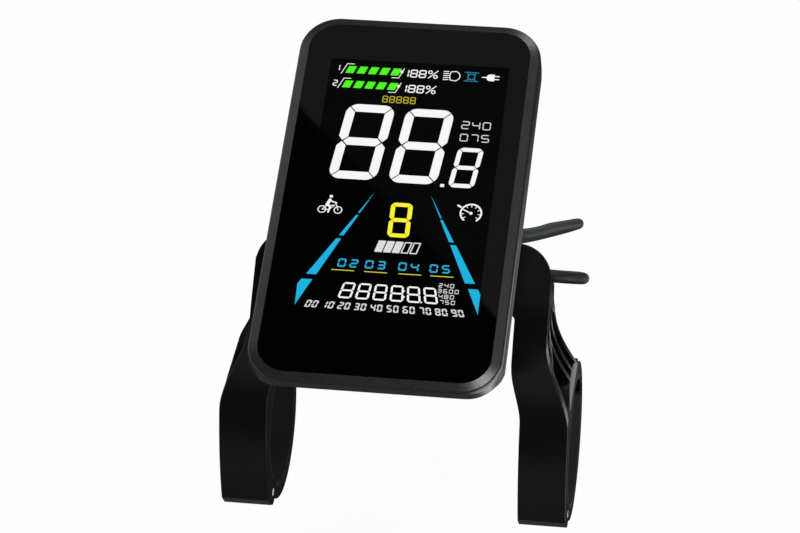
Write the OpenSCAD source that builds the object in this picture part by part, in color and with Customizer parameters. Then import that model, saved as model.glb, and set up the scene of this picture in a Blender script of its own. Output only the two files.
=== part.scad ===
// E-bike handlebar display: a portrait colour screen in a tilting housing,
// carried by two arms that clamp round the handlebar.
// X runs along the handlebar, Y runs away from the rider, Z is up.
// The origin is on the handlebar's axis, midway between the two clamps.

/* [Handlebar clamps] */
// Diameter of the handlebar that the lined clamps close on
bar_d = 31.8; // [30:0.1:33]
// Thickness of the rubber liner in each clamp
liner_t = 1; // [0.6:0.1:1.2]
// Wall of each clamp ring
ring_wall = 3.2; // [2.8:0.1:4]
// Width of each clamp along the bar
ring_w = 11.9; // [11:0.1:14]
// From the middle of the part to the inner face of each clamp
ring_in = 31.4; // [30.5:0.1:34]
// From the bar's axis to the flat front of each clamp
ring_front = 21.2; // [20.6:0.1:22.5]
// Gap left between arm and strap when clamped
split_gap = 0.8; // [0.4:0.1:1.2]
// Diameter of the steel hinge pin
hinge_pin_d = 2; // [1.6:0.1:2.2]
// From the bar's axis to the hinge pin's axis
hinge_pin_r = 19.1; // [18.9:0.1:19.6]
// Angle of the hinge pin below the horizontal, at the front
hinge_angle = 42; // [38:1:46]
// Angle of the clamp screw's split above the horizontal, at the back
screw_angle = 18; // [14:1:20]
// Diameter of the clamp screw
clamp_screw_d = 3; // [2.5:0.1:3.2]

/* [Arms] */
// Height of the tilt axis above the bar's axis
pivot_z = 43.8; // [42:0.1:46]
// Distance of the tilt axis behind the bar's axis
pivot_y = 3.5; // [2.5:0.1:4.5]
// Lean of the head of each arm from the vertical
head_lean = 41.6; // [40:0.1:43]
// Depth of the head of each arm, front to back
head_t = 9; // [8:0.1:10]
// Height of the head of each arm
head_h = 15; // [14:0.1:16]
// Radius of the outer top corner of each arm
head_corner_r = 9; // [5:0.1:10]
// Inner end of each arm's head, beside the display's ears
head_in = 15.5; // [14.5:0.1:18]
// Inner face of each arm's neck
neck_in = 28.6; // [28:0.1:30]
// Width of each arm's neck
neck_w = 8.2; // [7.6:0.1:8.6]
// Back of each arm's neck, behind the bar's axis
neck_back = 7.2; // [6.6:0.1:7.8]
// Radius of the hollow in the back of each arm
hollow_r = 10; // [9:0.1:10.5]
// Border left round the side pockets
pocket_border = 2.4; // [1.8:0.1:2.8]
// Thickness of the ribs between the side pockets
pocket_rib = 1; // [0.8:0.1:1.3]

/* [Display] */
// Width of the display
body_w = 60.4; // [59.5:0.1:62]
// Height of the display
body_h = 105.2; // [104:0.1:107]
// Corner radius of the display
body_r = 9.8; // [9.2:0.1:11]
// Thickness of the display at its edge
body_t = 14.5; // [14:0.1:15.5]
// Width of the bevelled rim round the lens
rim_w = 2.6; // [2.2:0.1:3]
// Thickness of the front frame
frame_t = 4.4; // [4.2:0.1:4.8]
// Lean of the display from the vertical, as shown
display_lean = 60; // [58:1:62]
// From the tilt axis to the front of the lens
lens_ahead = 28; // [27.5:0.1:29]
// From the tilt axis up to the middle of the lens
lens_up = 3.3; // [2.6:0.1:3.8]
// Thickness of the lens
lens_t = 1.6; // [1.4:0.1:1.8]
// Wall of the rear housing
case_wall = 2; // [1.8:0.1:2.2]
// Slope of the display's two ends, off the square
end_slope = 35; // [32:1:37]
// Slope of the back part of the display's long sides
side_slope = 20; // [14:1:22]
// Depth of the straight part of the long sides
side_top = 8; // [7.6:0.1:9]

/* [Hinge] */
// Diameter of the tilt axle
axle_d = 5; // [4.5:0.1:5.2]
// Width of each hinge ear on the rear housing
ear_w = 6; // [5:0.1:7]
// Thickness of the friction washer beside each ear
friction_washer_t = 0.9; // [0.6:0.1:1.1]
// Wall of the bush in each ear
bush_wall = 0.8; // [0.6:0.1:1]

/* [Cables] */
// Diameter of both cables
cable_d = 2.9; // [2.7:0.1:3.1]
// Length of each round connector
plug_l = 24; // [20:0.5:26]
// Diameter of the main connector
main_plug_d = 8.4; // [8:0.1:9]
// Diameter of the keypad connector
keypad_plug_d = 7; // [6.6:0.1:7.6]
// Length of each cable gland outside the housing
gland_l = 8; // [6:0.1:9]

/* [Hidden] */
$fn = 64;
// Overrun of a cut past a face
over = 1;
// Clearance of a piece that drops into another
drop_gap = 0.1;
// Radial clearance of a turning fit
run_gap = 0.05;
// Gap between faces of pieces that pass each other
pass_gap = 0.3;

// Clamp ring
bore_r = bar_d / 2;
seat_r = bore_r + liner_t;
ring_r = seat_r + ring_wall;
ring_out = ring_in + ring_w;
ring_mid = ring_in + ring_w / 2;
neck_out = neck_in + neck_w;
knuckle_r = 3.3;
knuckle_slot_r = knuckle_r + pass_gap;
strap_knuckle_r = 2.7;
strap_knuckle_w = 5.4;
toe_drop = 14.6;
toe_in = 17.6;
toe_rise = 5;
clamp_nut_w = 5.5;
clamp_nut_t = 2.2;
nut_wall = 0.6;
screw_r = seat_r + clamp_nut_w / 2 + drop_gap + nut_wall;
screw_boss_r = 3.4;
screw_boss_w = 9;
screw_boss_l = 5.4;
screw_tip = 4.2;
nut_cover = 0.4;
screw_hole_gap = 0.45;
screw_head_d = 5.4;
screw_head_h = 2.8;
screw_socket_d = 2.5;
screw_socket_l = 1.6;
boss_web = 4.4;

// Arm
head_fillet = 5;
arm_front_r = (pivot_y - head_t / 2 * cos(head_lean) - head_h / 2 * sin(head_lean) + ring_front)
    / (1 - cos(head_lean));
arm_front_y = arm_front_r - ring_front;
arm_front_z = pivot_z + head_t / 2 * sin(head_lean) - head_h / 2 * cos(head_lean)
    - arm_front_r * sin(head_lean);
// How far the fillet under each head runs past the neck's flat face that it meets
meet_ease = 0.05;
hollow_y = 13.2;
hollow_z = 26;
flare_rise = 8.5;
flare_out_low = 16.5;
flare_out_high = 35;
flare_in_low = 18;
flare_in_high = 30.4;
flare_steps = 12;
// Long enough to pass the whole arm
arm_reach = 80;
pocket_wall = 4.2;
pocket_floor = neck_in + pocket_wall;
pocket_top = 1;
pocket_low = 14.5;
web_first = 4.4;
web_pitch = 4;
web_r = [hollow_r + web_first, hollow_r + web_first + web_pitch];
cross_y = [-17.5, -20.5];
cross_z = [44, 26];
cross_r = [17, 27];
counter_d = 7.2;
counter_deep = 4;
axle_end = neck_out - counter_deep;
axle_hole_gap = 0.1;
axle_thread_d = 3;
axle_thread_l = 8;
axle_screw_head_d = 6.6;
axle_screw_head_h = 2.2;
axle_screw_l = 6;
axle_socket_d = 3;
axle_socket_l = 1.4;
washer_r = 4.3;

// Display, in its own frame: the origin is on the front of the lens
snug_gap = 0.02;
lens_w = body_w - 2 * rim_w;
lens_h = body_h - 2 * rim_w;
lens_r = body_r - rim_w;
tape_t = 0.2;
tape_in = 0.4;
tape_w = 3;
ledge_t = 1.3;
ledge_w = 4;
ledge_top = lens_t + tape_t;
ledge_bottom = ledge_top + ledge_t;
rim_edge = 0.6;
rim_drop = 0.5;
rim_round = 1.6;
rim_arc_steps = 6;
rim_wall = 3.6;
end_top = 2.8;
end_round = body_r * cos(end_slope);
end_spare = 0.4;
side_run = (body_t - side_top) * tan(side_slope);
seal_w = 0.6;
seal_t = 0.8;
seal_in = 0.9;
seal_end = 1.2;
seal_sink = 0.4;
opening_w = body_w - 2 * (rim_w + ledge_w);
opening_h = body_h - 2 * (rim_w + ledge_w);
panel_w = opening_w - 4 * drop_gap;
panel_h = opening_h - 4 * drop_gap;
panel_t = 1.4;
panel_top = ledge_top + drop_gap;
panel_r = body_r - rim_w - ledge_w - 2 * drop_gap;
light_t = 1.5;
light_top = panel_top + panel_t + drop_gap;
tray_t = 0.6;
tray_wall = 0.8;
tray_top = light_top + light_t + drop_gap;
tray_w = panel_w + 2 * (drop_gap + tray_wall);
tray_h = panel_h + 2 * (drop_gap + tray_wall);
post_d = 4;
post_l = 2;
board_top = tray_top + tray_t + post_l;
board_t = 1.2;
board_side = 7.2;
board_end = 13.1;
board_w = body_w - 2 * board_side;
board_h = body_h - 2 * board_end;
board_r = 2;
board_back = board_top + board_t;
board_hole_d = 2.2;
board_edge = 3;
board_screw_d = 1.6;
board_screw_head_d = 3.2;
board_screw_head_h = 1;
board_screw_l = 2.8;
ribbon_w = 20;
ribbon_t = 0.2;
ribbon_bulge = 0.6;
ribbon_rest = 7;
// Each chip on the board: place across and along, width, height, as shares of the board, and
// thickness as a share of the tallest chip
chip_shares = [
    [-0.18, 0.22, 0.26, 0.15, 1], [0.22, 0.4, 0.16, 0.09, 0.8], [0.26, -0.02, 0.12, 0.07, 0.7],
    [-0.26, -0.12, 0.14, 0.08, 0.85], [0.02, -0.22, 0.2, 0.1, 0.9], [-0.28, 0.36, 0.1, 0.05, 0.6]];
chip_t = 1.2;
header_w = 8;
header_h = 5;
header_t = 1.8;
header_wall = 0.7;
lead_r = 0.4;
lead_step = 0.9;
chip_corner = 0.2;
case_floor = 1.6;
floor_top = body_t - case_floor;
flange_t = 1.2;
flange_w = 3.4;
case_round = 4.5;
cavity_w = body_w - 2 * case_wall;
cavity_h = body_h - 2 * case_wall;
cavity_r = body_r - case_wall;
case_screw_d = 2;
case_screw_head_d = 4;
case_screw_head_h = 1.6;
case_screw_sink = 2.2;
case_screw_tip = 3.6;
case_screw_in = 3.8;
case_screw_end = 17.1;
case_screw_row = body_h / 2 - case_screw_end;
case_post_d = 5.2;
frame_post_d = 3.4;
frame_post_end = 7.6;
ear_out = head_in - friction_washer_t;
ear_in = ear_out - ear_w;
ear_r = 5.6;
ear_foot = 9;
bush_r = axle_d / 2 + run_gap + bush_wall;

// Cable outlets on the back of the housing, in the display's own frame
outlet_up = 18;
main_outlet_x = 16;
keypad_outlet_x = 5;
gland_r = 2.6;
gland_flange_r = 3.6;
gland_flange_t = 1;
gland_root_r = 3.2;
gland_tip_r = 2;
gland_grooves = 4;
gland_groove = 0.35;
gland_end = body_t + gland_l;

// Cable routes, in the display's own frame: from the gland to the connector
main_route = [
    [16, 18, -22.5], [16, 18, -27], [16.5, 18, -33], [19.5, 18, -39], [25, 20, -45],
    [28.5, 26.5, -54], [31, 34, -63.5], [33.5, 41, -73], [36, 47, -81], [36, 50.5, -86.5],
    [33.5, 52, -90.5], [29, 51.5, -92.5], [21, 49, -93], [13, 47, -92], [5, 46, -91.5],
    [-4, 46, -91.5], [-13.5, 46, -91.5]];
keypad_route = [
    [5, 18, -22.5], [5, 18, -27], [5.5, 17.5, -33], [8.5, 15, -39], [14.5, 12, -43],
    [22, 10, -45.5], [29.5, 9.5, -46.5], [36, 9.5, -47], [40.5, 11, -49.5], [42, 13.5, -54],
    [40.5, 16, -58.5], [36, 17.5, -61], [28.5, 18, -61.5], [19.5, 18, -60.5], [10, 18, -60.5],
    [0.5, 18, -60.5]];
cable_sides = 8;
cable_step = 2;
plug_boot_l = 8;
plug_boot_r = 2.2;
plug_nose_l = 7;
plug_wall = 1;
plug_face = 1.5;
collar_l = 5;
collar_back = 1;
contact_d = 0.9;
contact_l = 4.5;
contact_count = 5;
contact_ring_share = 0.6;

function smooth(t) = t * t * (3 - 2 * t);

// Seats its child in the display's own frame
module in_display() {
    translate([0, pivot_y, pivot_z]) rotate([90 - display_lean, 0, 0]) translate([0, lens_up, lens_ahead])
        children();
}

// Seats its child in the frame of the arms' heads, centred on the tilt axis
module in_head() {
    translate([0, pivot_y, pivot_z]) rotate([-head_lean, 0, 0]) children();
}

// A flat plate with round corners, from depth top to depth bottom behind the lens
module plate(w, h, r, top, bottom) {
    translate([0, 0, -bottom]) linear_extrude(bottom - top) plate_outline(w, h, r);
}

module plate_outline(w, h, r) {
    square([w - 2 * r, h], center = true);
    square([w, h - 2 * r], center = true);
    for (x = [-1, 1], y = [-1, 1]) translate([x * (w / 2 - r), y * (h / 2 - r)]) circle(r);
}

// Sweeps a section round a rounded rectangle; each point is [inset, height]
module swept_rim(w, h, r, section) {
    for (i = [0:3]) rotate([0, 0, 90 * i]) {
        half_x = (i % 2 == 0 ? w : h) / 2;
        half_y = (i % 2 == 0 ? h : w) / 2;
        translate([0, half_y - r, 0]) rotate([90, 0, 0]) linear_extrude(2 * (half_y - r))
            polygon([for (p = section) [half_x - p[0], p[1]]]);
        translate([half_x - r, half_y - r, 0]) rotate_extrude(angle = 90)
            polygon([for (p = section) [r - p[0], p[1]]]);
    }
}

// Runs its 2D child, drawn in the YZ plane, along X from one place to another
module along_bar(from, to) {
    translate([from, 0, 0]) rotate([90, 0, 90]) linear_extrude(to - from) children();
}

// A cylinder whose axis runs along X
module pin_along(from, to, r) {
    translate([from, 0, 0]) rotate([0, 90, 0]) cylinder(to - from, r, r);
}

// The strap's side of the clamp, as a 2D region in the YZ plane, grown by a margin
module strap_side(margin) {
    intersection_for (angle = [hinge_angle, screw_angle])
        rotate(angle) translate([-arm_reach, margin - arm_reach]) square([2 * arm_reach, arm_reach]);
}

// Puts its 2D child at the hinge pin's place
module at_hinge_pin() {
    rotate(hinge_angle) translate([-hinge_pin_r, 0]) children();
}

// Puts its 3D child at the clamp screw: its Z axis points into the arm
module at_clamp_screw() {
    translate([ring_mid, 0, 0]) rotate([screw_angle, 0, 0]) translate([0, screw_r, 0]) children();
}

// The region behind the arm's front, which is flat on the head and curved below it
module arm_front() {
    intersection() {
        translate([arm_front_y, arm_front_z]) circle(arm_front_r);
        translate([pivot_y, pivot_z]) rotate(-head_lean)
            translate([-arm_reach, -head_h / 2 - 2 * arm_reach]) square([2 * arm_reach, 2 * arm_reach]);
    }
    translate([pivot_y, pivot_z]) rotate(-head_lean) translate([-head_t / 2, -head_h / 2])
        square([arm_reach, arm_reach]);
}

module arm_side_outline() {
    difference() {
        intersection() {
            arm_front();
            translate([-arm_reach, -toe_drop]) square([arm_reach + neck_back, arm_reach]);
            translate([pivot_y, pivot_z]) rotate(-head_lean)
                translate([-arm_reach, -2 * arm_reach]) square([2 * arm_reach, 2 * arm_reach]);
        }
        translate([hollow_y, hollow_z]) circle(hollow_r);
        polygon([[-toe_in, -toe_drop], [-ring_front - over, -toe_drop + toe_rise],
            [-ring_front - over, -toe_drop - over], [-toe_in, -toe_drop - over]]);
    }
    circle(ring_r);
}

module arm_flare_outline() {
    polygon(concat(
        [[ring_in, arm_reach / 2]],
        [for (i = [0:flare_steps]) [ring_in - smooth(i / flare_steps) * (ring_in - neck_in),
            -flare_in_low - i / flare_steps * (flare_in_high - flare_in_low)]],
        [[neck_in, -arm_reach], [neck_out, -arm_reach]],
        [for (i = [0:flare_steps]) [neck_out + smooth(i / flare_steps) * (ring_out - neck_out),
            -flare_out_high + i / flare_steps * (flare_out_high - flare_out_low)]],
        [[ring_out, arm_reach / 2]]));
}

module arm_head_outline() {
    difference() {
        union() {
            translate([head_in, -head_h / 2]) square([neck_out - head_in, head_h]);
            translate([neck_in - head_fillet, -head_h / 2 - head_fillet])
                square([neck_w + head_fillet, head_fillet]);
        }
        translate([neck_in - head_fillet + meet_ease, -head_h / 2 - head_fillet]) circle(head_fillet);
        translate([neck_out - head_corner_r, head_h / 2 - head_corner_r]) difference() {
            square(head_corner_r + over);
            circle(head_corner_r);
        }
    }
}

// Side pockets between curved, crossing ribs
module pocket_outline() {
    difference() {
        intersection() {
            translate([arm_front_y, arm_front_z]) circle(arm_front_r - pocket_border);
            translate([-arm_reach, pocket_low]) square([arm_reach + neck_back - pocket_rib, arm_reach]);
            translate([pivot_y, pivot_z]) rotate(-head_lean) translate([-arm_reach, -2 * arm_reach])
                square([2 * arm_reach, 2 * arm_reach - head_h / 2 + pocket_top]);
        }
        circle(ring_r + pocket_rib);
        translate([hollow_y, hollow_z]) circle(hollow_r + pocket_rib);
        for (r = web_r) translate([hollow_y, hollow_z]) difference() {
            circle(r + pocket_rib);
            circle(r);
        }
        for (i = [0:len(cross_r) - 1]) translate([cross_y[i], cross_z[i]]) difference() {
            circle(cross_r[i] + pocket_rib);
            circle(cross_r[i]);
        }
    }
}

// The boss for the clamp screw, on the arm's side or the strap's
module screw_boss(side) {
    along_bar(ring_mid - screw_boss_w / 2, ring_mid + screw_boss_w / 2) rotate(screw_angle)
        translate([screw_r - boss_web, side > 0 ? 0 : -screw_boss_l])
            square([boss_web + screw_boss_r, side > 0 ? screw_tip + nut_cover : screw_boss_l]);
}

module arm_shape() {
    difference() {
        union() {
            intersection() {
                along_bar(neck_in, ring_out) {
                    arm_side_outline();
                    at_hinge_pin() circle(knuckle_r);
                }
                rotate([flare_rise - 90, 0, 0]) translate([0, 0, -arm_reach])
                    linear_extrude(2 * arm_reach) arm_flare_outline();
            }
            intersection() {
                in_head() translate([0, head_t / 2, 0]) rotate([90, 0, 0]) linear_extrude(head_t + over)
                    arm_head_outline();
                along_bar(0, arm_reach) arm_front();
            }
            screw_boss(1);
        }
        pin_along(0, ring_out + over, seat_r);
        along_bar(0, ring_out + over) difference() {
            strap_side(split_gap / 2);
            at_hinge_pin() circle(knuckle_r);
        }
        along_bar(pocket_floor, ring_out + over) pocket_outline();
        along_bar(ring_mid - strap_knuckle_w / 2 - pass_gap, ring_mid + strap_knuckle_w / 2 + pass_gap)
            at_hinge_pin() circle(knuckle_slot_r);
        rotate([hinge_angle, 0, 0]) translate([0, -hinge_pin_r, 0])
            pin_along(0, ring_out + over, hinge_pin_d / 2);
        in_head() {
            pin_along(0, ring_out, axle_d / 2 + axle_hole_gap);
            pin_along(axle_end, ring_out, counter_d / 2);
        }
        at_clamp_screw() {
            cylinder(screw_boss_l + over, clamp_screw_d / 2 + screw_hole_gap,
                clamp_screw_d / 2 + screw_hole_gap);
            translate([0, 0, screw_tip - clamp_nut_t])
                cylinder(screw_boss_l, (clamp_nut_w / 2 + drop_gap) / cos(30),
                    (clamp_nut_w / 2 + drop_gap) / cos(30), $fn = 6);
        }
    }
}

module right_arm() color("#1b1b1d") arm_shape();
module left_arm() color("#1b1b1d") mirror([1, 0, 0]) arm_shape();

module strap_shape() {
    difference() {
        union() {
            along_bar(ring_in, ring_out) intersection() {
                circle(ring_r);
                strap_side(-split_gap / 2);
            }
            intersection() {
                screw_boss(-1);
                along_bar(ring_in, ring_out) strap_side(-split_gap / 2);
            }
            along_bar(ring_mid - strap_knuckle_w / 2, ring_mid + strap_knuckle_w / 2)
                at_hinge_pin() circle(strap_knuckle_r);
        }
        pin_along(0, ring_out + over, seat_r);
        for (side = [-1, 1]) translate([side * (strap_knuckle_w / 2 + ring_w / 2), 0, 0])
            along_bar(ring_mid - ring_w / 2, ring_mid + ring_w / 2) at_hinge_pin() circle(knuckle_slot_r);
        rotate([hinge_angle, 0, 0]) translate([0, -hinge_pin_r, 0])
            pin_along(0, ring_out + over, hinge_pin_d / 2 + run_gap);
        at_clamp_screw() mirror([0, 0, 1]) {
            cylinder(screw_boss_l + over, clamp_screw_d / 2 + drop_gap, clamp_screw_d / 2 + drop_gap);
            translate([0, 0, screw_boss_l]) cylinder(screw_head_h + ring_wall,
                screw_head_d / 2 + drop_gap, screw_head_d / 2 + drop_gap);
        }
    }
}

module right_strap() color("#1b1b1d") strap_shape();
module left_strap() color("#1b1b1d") mirror([1, 0, 0]) strap_shape();

module hinge_pin_shape() {
    rotate([hinge_angle, 0, 0]) translate([0, -hinge_pin_r, 0]) pin_along(ring_in, ring_out, hinge_pin_d / 2);
}

module right_hinge_pin() color("#d8dade") hinge_pin_shape();
module left_hinge_pin() color("#d8dade") mirror([1, 0, 0]) hinge_pin_shape();

module clamp_screw_shape() {
    at_clamp_screw() difference() {
        union() {
            translate([0, 0, -screw_boss_l]) cylinder(screw_boss_l + screw_tip, clamp_screw_d / 2,
                clamp_screw_d / 2);
            translate([0, 0, -screw_boss_l - screw_head_h])
                cylinder(screw_head_h, screw_head_d / 2, screw_head_d / 2);
        }
        translate([0, 0, -screw_boss_l - screw_head_h - over])
            cylinder(screw_socket_l + over, screw_socket_d / 2, screw_socket_d / 2, $fn = 6);
    }
}

module right_clamp_screw() color("#a9adb3") clamp_screw_shape();
module left_clamp_screw() color("#a9adb3") mirror([1, 0, 0]) clamp_screw_shape();

module clamp_nut_shape() {
    at_clamp_screw() translate([0, 0, screw_tip - clamp_nut_t]) difference() {
        cylinder(clamp_nut_t, clamp_nut_w / 2 / cos(30), clamp_nut_w / 2 / cos(30), $fn = 6);
        translate([0, 0, -over]) cylinder(clamp_nut_t + 2 * over, clamp_screw_d / 2 + pass_gap,
            clamp_screw_d / 2 + pass_gap);
    }
}

module right_clamp_nut() color("#a9adb3") clamp_nut_shape();
module left_clamp_nut() color("#a9adb3") mirror([1, 0, 0]) clamp_nut_shape();

// A liner, whose 2D child is the part of the bore that it covers, short of the hinge
module liner_shape() {
    along_bar(ring_in, ring_out) difference() {
        intersection() {
            circle(seat_r);
            children();
        }
        circle(bore_r);
        at_hinge_pin() circle(knuckle_slot_r);
    }
}

// The front liner ends on a full width of the bore, so that the bar passes
module front_liner_shape() {
    liner_shape() rotate(hinge_angle) translate([-arm_reach, split_gap / 2])
        square([2 * arm_reach, arm_reach]);
}

module rear_liner_shape() {
    liner_shape() strap_side(-split_gap / 2);
}

module right_front_liner() color("#2a2d2c") front_liner_shape();
module left_front_liner() color("#2a2d2c") mirror([1, 0, 0]) front_liner_shape();
module right_rear_liner() color("#2a2d2c") rear_liner_shape();
module left_rear_liner() color("#2a2d2c") mirror([1, 0, 0]) rear_liner_shape();

module pivot_axle() color("#b9bdc2") in_head() difference() {
    pin_along(-axle_end, axle_end, axle_d / 2);
    for (side = [0, 1]) mirror([side, 0, 0])
        pin_along(axle_end - axle_thread_l, axle_end + over, axle_thread_d / 2);
}

module pivot_screws() color("#8f9399") in_head() for (side = [0, 1]) mirror([side, 0, 0]) difference() {
    union() {
        pin_along(axle_end - axle_screw_l, axle_end, axle_thread_d / 2);
        pin_along(axle_end, axle_end + axle_screw_head_h, axle_screw_head_d / 2);
    }
    translate([axle_end + axle_screw_head_h - axle_socket_l, 0, 0]) rotate([0, 90, 0])
        cylinder(axle_socket_l + over, axle_socket_d / 2, axle_socket_d / 2, $fn = 6);
}

module friction_washers() color("#c9c4b4") in_head() for (side = [0, 1]) mirror([side, 0, 0]) difference() {
    pin_along(ear_out, head_in, washer_r);
    pin_along(ear_out - over, head_in + over, axle_d / 2 + run_gap);
}

// Both cables' tubes: a smooth curve through the route's points
function along(p, i) = i < 0 ? 2 * p[0] - p[1] : i >= len(p) ? 2 * p[len(p) - 1] - p[len(p) - 2] : p[i];
function curve_at(p, i, t) = (2 * along(p, i) + (along(p, i + 1) - along(p, i - 1)) * t
    + (2 * along(p, i - 1) - 5 * along(p, i) + 4 * along(p, i + 1) - along(p, i + 2)) * t * t
    + (3 * along(p, i) - along(p, i - 1) - 3 * along(p, i + 1) + along(p, i + 2)) * t * t * t) / 2;
function curve(p) = concat(
    [for (i = [0:len(p) - 2], j = [0:cable_step - 1]) curve_at(p, i, j / cable_step)], [p[len(p) - 1]]);
function unit(v) = v / norm(v);
function heading(c, i) = i == 0 ? unit(c[1] - c[0])
    : i == len(c) - 1 ? unit(c[i] - c[i - 1]) : unit(c[i + 1] - c[i - 1]);
function square_to(v, t) = unit(v - (v * t) * t);

module tube(route, r) {
    c = curve(route);
    end = len(c) - 1;
    first = unit(route[1] - route[0]);
    last = unit(route[len(route) - 1] - route[len(route) - 2]);
    t = [for (i = [0:end]) i == 0 ? first : i == end ? last : heading(c, i)];
    side = [for (i = 0, n = square_to([1, 1, 0], t[0]); i <= end;
        i = i + 1, n = i <= end ? square_to(n, t[i]) : n) n];
    points = [for (i = [0:end], k = [0:cable_sides - 1])
        c[i] + r * (cos(360 * k / cable_sides) * side[i]
            + sin(360 * k / cable_sides) * cross(t[i], side[i]))];
    polyhedron(points, concat(
        [[for (k = [cable_sides - 1:-1:0]) k]],
        [[for (k = [0:cable_sides - 1]) end * cable_sides + k]],
        [for (i = [0:end - 1], k = [0:cable_sides - 1], half = [0, 1])
            let (a = i * cable_sides, b = a + cable_sides, m = (k + 1) % cable_sides)
            half == 0 ? [a + k, a + m, b + m] : [a + k, b + m, b + k]]));
}

// A long block that slopes like one end of the display, with round corners, drawn in by a margin
module end_block(margin) {
    translate([0, body_h / 2, -end_top]) rotate([-end_slope, 0, 0]) translate([0, -body_h - margin, -body_h])
        linear_extrude(2 * body_h)
            plate_outline(body_w + 2 * (end_spare - margin), 2 * body_h, end_round - margin / 2);
}

// Keeps its child inside the sloping ends and sides of the display, drawn in by a margin
module within_slopes(margin) {
    half = body_w / 2 - margin / cos(side_slope);
    intersection() {
        children();
        end_block(margin);
        mirror([0, 1, 0]) end_block(margin);
        rotate([90, 0, 0]) linear_extrude(2 * body_h, center = true) polygon([
            [half + over, over], [half + over, over / tan(side_slope) - side_top],
            [half - side_run, -body_t], [half - side_run, -body_t - over],
            [side_run - half, -body_t - over], [side_run - half, -body_t],
            [-half - over, over / tan(side_slope) - side_top], [-half - over, over]]);
    }
}

module at_case_screws() {
    for (x = [-1, 1], y = [-1:1]) translate([x * (body_w / 2 - case_screw_in), y * case_screw_row, 0])
        children();
}

module at_board_screws() {
    for (x = [-1, 1], y = [-1, 1])
        translate([x * (board_w / 2 - board_edge), y * (board_h / 2 - board_edge), 0]) children();
}

// A cylinder that runs straight behind the lens, from one depth to another
module post(top, bottom, r) {
    translate([0, 0, -bottom]) cylinder(bottom - top, r, r);
}

module front_lens() color("#050507") in_display()
    plate(lens_w - 2 * drop_gap, lens_h - 2 * drop_gap, lens_r - drop_gap, 0, lens_t);

module lens_adhesive() color("#101012") in_display() difference() {
    plate(lens_w - 2 * tape_in, lens_h - 2 * tape_in, lens_r - tape_in, lens_t, ledge_top);
    plate(lens_w - 2 * (tape_in + tape_w), lens_h - 2 * (tape_in + tape_w), lens_r - tape_in - tape_w,
        0, ledge_top + over);
}

module bezel_frame() color("#1d1e20") in_display() difference() {
    union() {
        within_slopes(0) swept_rim(body_w, body_h, body_r, concat(
            [[rim_w, 0], [rim_edge, -rim_drop]],
            [for (i = [1:rim_arc_steps]) let (a = 90 * i / rim_arc_steps)
                [rim_edge * (1 - sin(a)), -rim_drop - rim_round * (1 - cos(a))]],
            [[0, -frame_t], [rim_wall, -frame_t], [rim_wall, -ledge_bottom],
                [rim_w + ledge_w, -ledge_bottom], [rim_w + ledge_w, -ledge_top],
                [rim_w, -ledge_top]]));
        at_case_screws() post(ledge_top, frame_post_end, frame_post_d / 2);
    }
    at_case_screws() post(case_screw_tip, frame_post_end + over, case_screw_d / 2 + snug_gap);
    seal_ring(drop_gap, frame_t - seal_sink, frame_t + over);
}

// The ring of the seal, or its groove, from one depth to another
module seal_ring(margin, top, bottom) {
    swept_rim(body_w, body_h - 2 * seal_end, body_r, [
        [seal_in - margin, -top], [seal_in + seal_w + margin, -top],
        [seal_in + seal_w + margin, -bottom], [seal_in - margin, -bottom]]);
}

module housing_seal() color("#3a3a3c") in_display()
    seal_ring(0, frame_t - seal_sink, frame_t - seal_sink + seal_t);

module lcd_panel() color("#0c0c12") in_display()
    plate(panel_w, panel_h, panel_r, panel_top, panel_top + panel_t);

module backlight() color("#dfe3e8") in_display()
    plate(panel_w, panel_h, panel_r, light_top, light_top + light_t);

module lcd_tray() color("#9da1a6") in_display() difference() {
    union() {
        plate(tray_w, tray_h, panel_r + tray_wall, ledge_bottom + drop_gap, tray_top + tray_t);
        at_board_screws() post(tray_top, board_top, post_d / 2);
    }
    plate(panel_w + 2 * drop_gap, panel_h + 2 * drop_gap, panel_r, 0, tray_top);
    at_board_screws() post(board_top - post_l - tray_t - over, board_top + over,
        board_screw_d / 2 + snug_gap);
    translate([-ribbon_w / 2 - over, -tray_h / 2 - over, -tray_top - tray_t - over])
        cube([ribbon_w + 2 * over, over + tray_wall + drop_gap, tray_top + tray_t + over]);
}

// The ribbon's path round the tray, as [place along the display, height]
ribbon_path = [
    [-panel_h / 2, -ledge_bottom - run_gap - ribbon_t / 2],
    [-panel_h / 2 - ribbon_bulge / 2, -ledge_bottom - run_gap - ribbon_t / 2],
    [-panel_h / 2 - ribbon_bulge, -light_top - light_t / 2],
    [-panel_h / 2 - ribbon_bulge, -tray_top - tray_t],
    [-panel_h / 2, -board_top + post_l / 2],
    [-panel_h / 2 + 2 * ribbon_bulge, -board_top + 3 * ribbon_t],
    [-board_h / 2 - ribbon_bulge, -board_top + ribbon_t / 2],
    [-board_h / 2 + ribbon_rest, -board_top + ribbon_t / 2]];
function turn_left(v) = [-v[1], v[0]];
function ribbon_side(p, i) = turn_left(heading(p, i));

module lcd_ribbon() color("#b06a1f") in_display() along_bar(-ribbon_w / 2, ribbon_w / 2) polygon(concat(
    [for (i = [0:len(ribbon_path) - 1]) ribbon_path[i] + ribbon_t / 2 * ribbon_side(ribbon_path, i)],
    [for (i = [len(ribbon_path) - 1:-1:0]) ribbon_path[i] - ribbon_t / 2 * ribbon_side(ribbon_path, i)]));

module main_board() color("#1f5a34") in_display() difference() {
    plate(board_w, board_h, board_r, board_top, board_back);
    at_board_screws() post(board_top - over, board_back + over, board_hole_d / 2);
}

module board_chips() color("#26282b") in_display() for (chip = chip_shares)
    translate([chip[0] * board_w, chip[1] * board_h, 0])
        plate(chip[2] * board_w, chip[3] * board_h, chip_corner, board_back,
            board_back + chip[4] * chip_t);

// Puts its child behind the lens at each of the two cable outlets
module at_outlets() {
    for (x = [main_outlet_x, keypad_outlet_x]) translate([x, outlet_up, 0]) children();
}

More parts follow.
